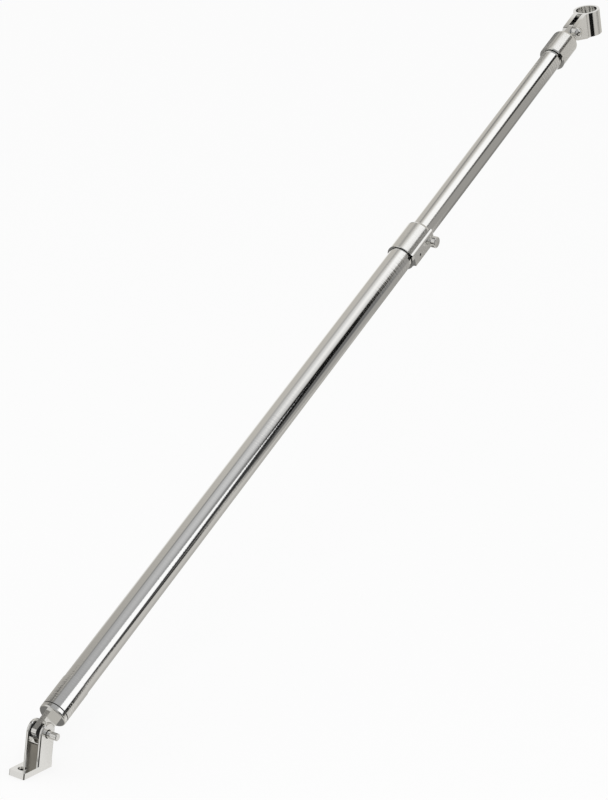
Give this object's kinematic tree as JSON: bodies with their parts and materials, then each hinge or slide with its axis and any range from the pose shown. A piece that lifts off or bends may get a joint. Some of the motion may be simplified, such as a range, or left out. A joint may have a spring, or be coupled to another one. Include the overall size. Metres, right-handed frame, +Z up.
{
  "type": "telescopic support pole",
  "caption": "Polished steel telescopic brace with a hinged screw-down foot, a thumbscrew collar and a hinged ring that takes a round rail.",
  "frame": {"origin": "centre of the foot's fixing hole on the plate's underside", "axes": "+Z up out of the surface that the foot is screwed to, +X along the foot's hinge pin towards its threaded end, +Y the way the pole leans"},
  "size_m": [0.0385, 0.9581, 0.5959],
  "materials": {
    "polished_steel": "mirror polished stainless steel",
    "tube_steel": "mirror polished stainless tube",
    "screw_steel": "bright turned screw",
    "dark_steel": "plain steel locking screw",
    "black_nylon": "black nylon",
    "white_nylon": "natural nylon"
  },
  "bodies": {
    "foot": {"foot_bracket": "polished_steel", "foot_pivot_screw": "screw_steel", "foot_spacer_left": "black_nylon", "foot_spacer_right": "black_nylon"},
    "outer_pole": {"outer_tube": "tube_steel", "lower_plug": "polished_steel", "lower_plug_pin": "screw_steel", "lower_sleeve": "polished_steel", "collar_body": "polished_steel", "collar_bush": "white_nylon", "collar_grub_screw": "dark_steel"},
    "pad": {"pressure_pad": "white_nylon"},
    "thumbscrew": {"thumb_stem": "screw_steel", "thumb_knob": "polished_steel"},
    "glide": {"glide_bush": "white_nylon"},
    "inner_pole": {"inner_tube": "tube_steel", "upper_eye_ferrule": "polished_steel", "ferrule_grub_screw": "dark_steel"},
    "ring": {"ring_eye": "polished_steel", "ring_pivot_screw": "screw_steel"}
  },
  "joints": [
    {"name": "foot_tilt", "type": "hinge", "parent": "foot", "child": "outer_pole", "pos_m": [0, 0.0215, 0.033], "axis": [1, 0, 0], "range_deg": [-3, 76]},
    {"name": "pole_extend", "type": "slide", "parent": "outer_pole", "child": "glide", "axis": [0, 0.8536, 0.521], "range_m": [-0.2935, 0.255]},
    {"name": "tube_turn", "type": "hinge", "parent": "glide", "child": "inner_pole", "pos_m": [0, 0.53363, 0.34561], "axis": [0, 0.8536, 0.521], "continuous": true},
    {"name": "ring_tilt", "type": "hinge", "parent": "inner_pole", "child": "ring", "pos_m": [0, 0.89946, 0.56891], "axis": [0.9912, -0.0689, 0.1129], "range_deg": [-70, 99]},
    {"name": "pad_press", "type": "slide", "parent": "outer_pole", "child": "pad", "axis": [1, 0, 0], "range_m": [-0.0002, 0.0014]},
    {"name": "thumb_turn", "type": "hinge", "parent": "pad", "child": "thumbscrew", "pos_m": [0.0185, 0.59876, 0.38536], "axis": [1, 0, 0], "range_deg": [-90, 630]}
  ],
  "couplings": [
    {"joint": "thumb_turn", "follows": "pad_press", "rad_per_m": 7854}
  ]
}
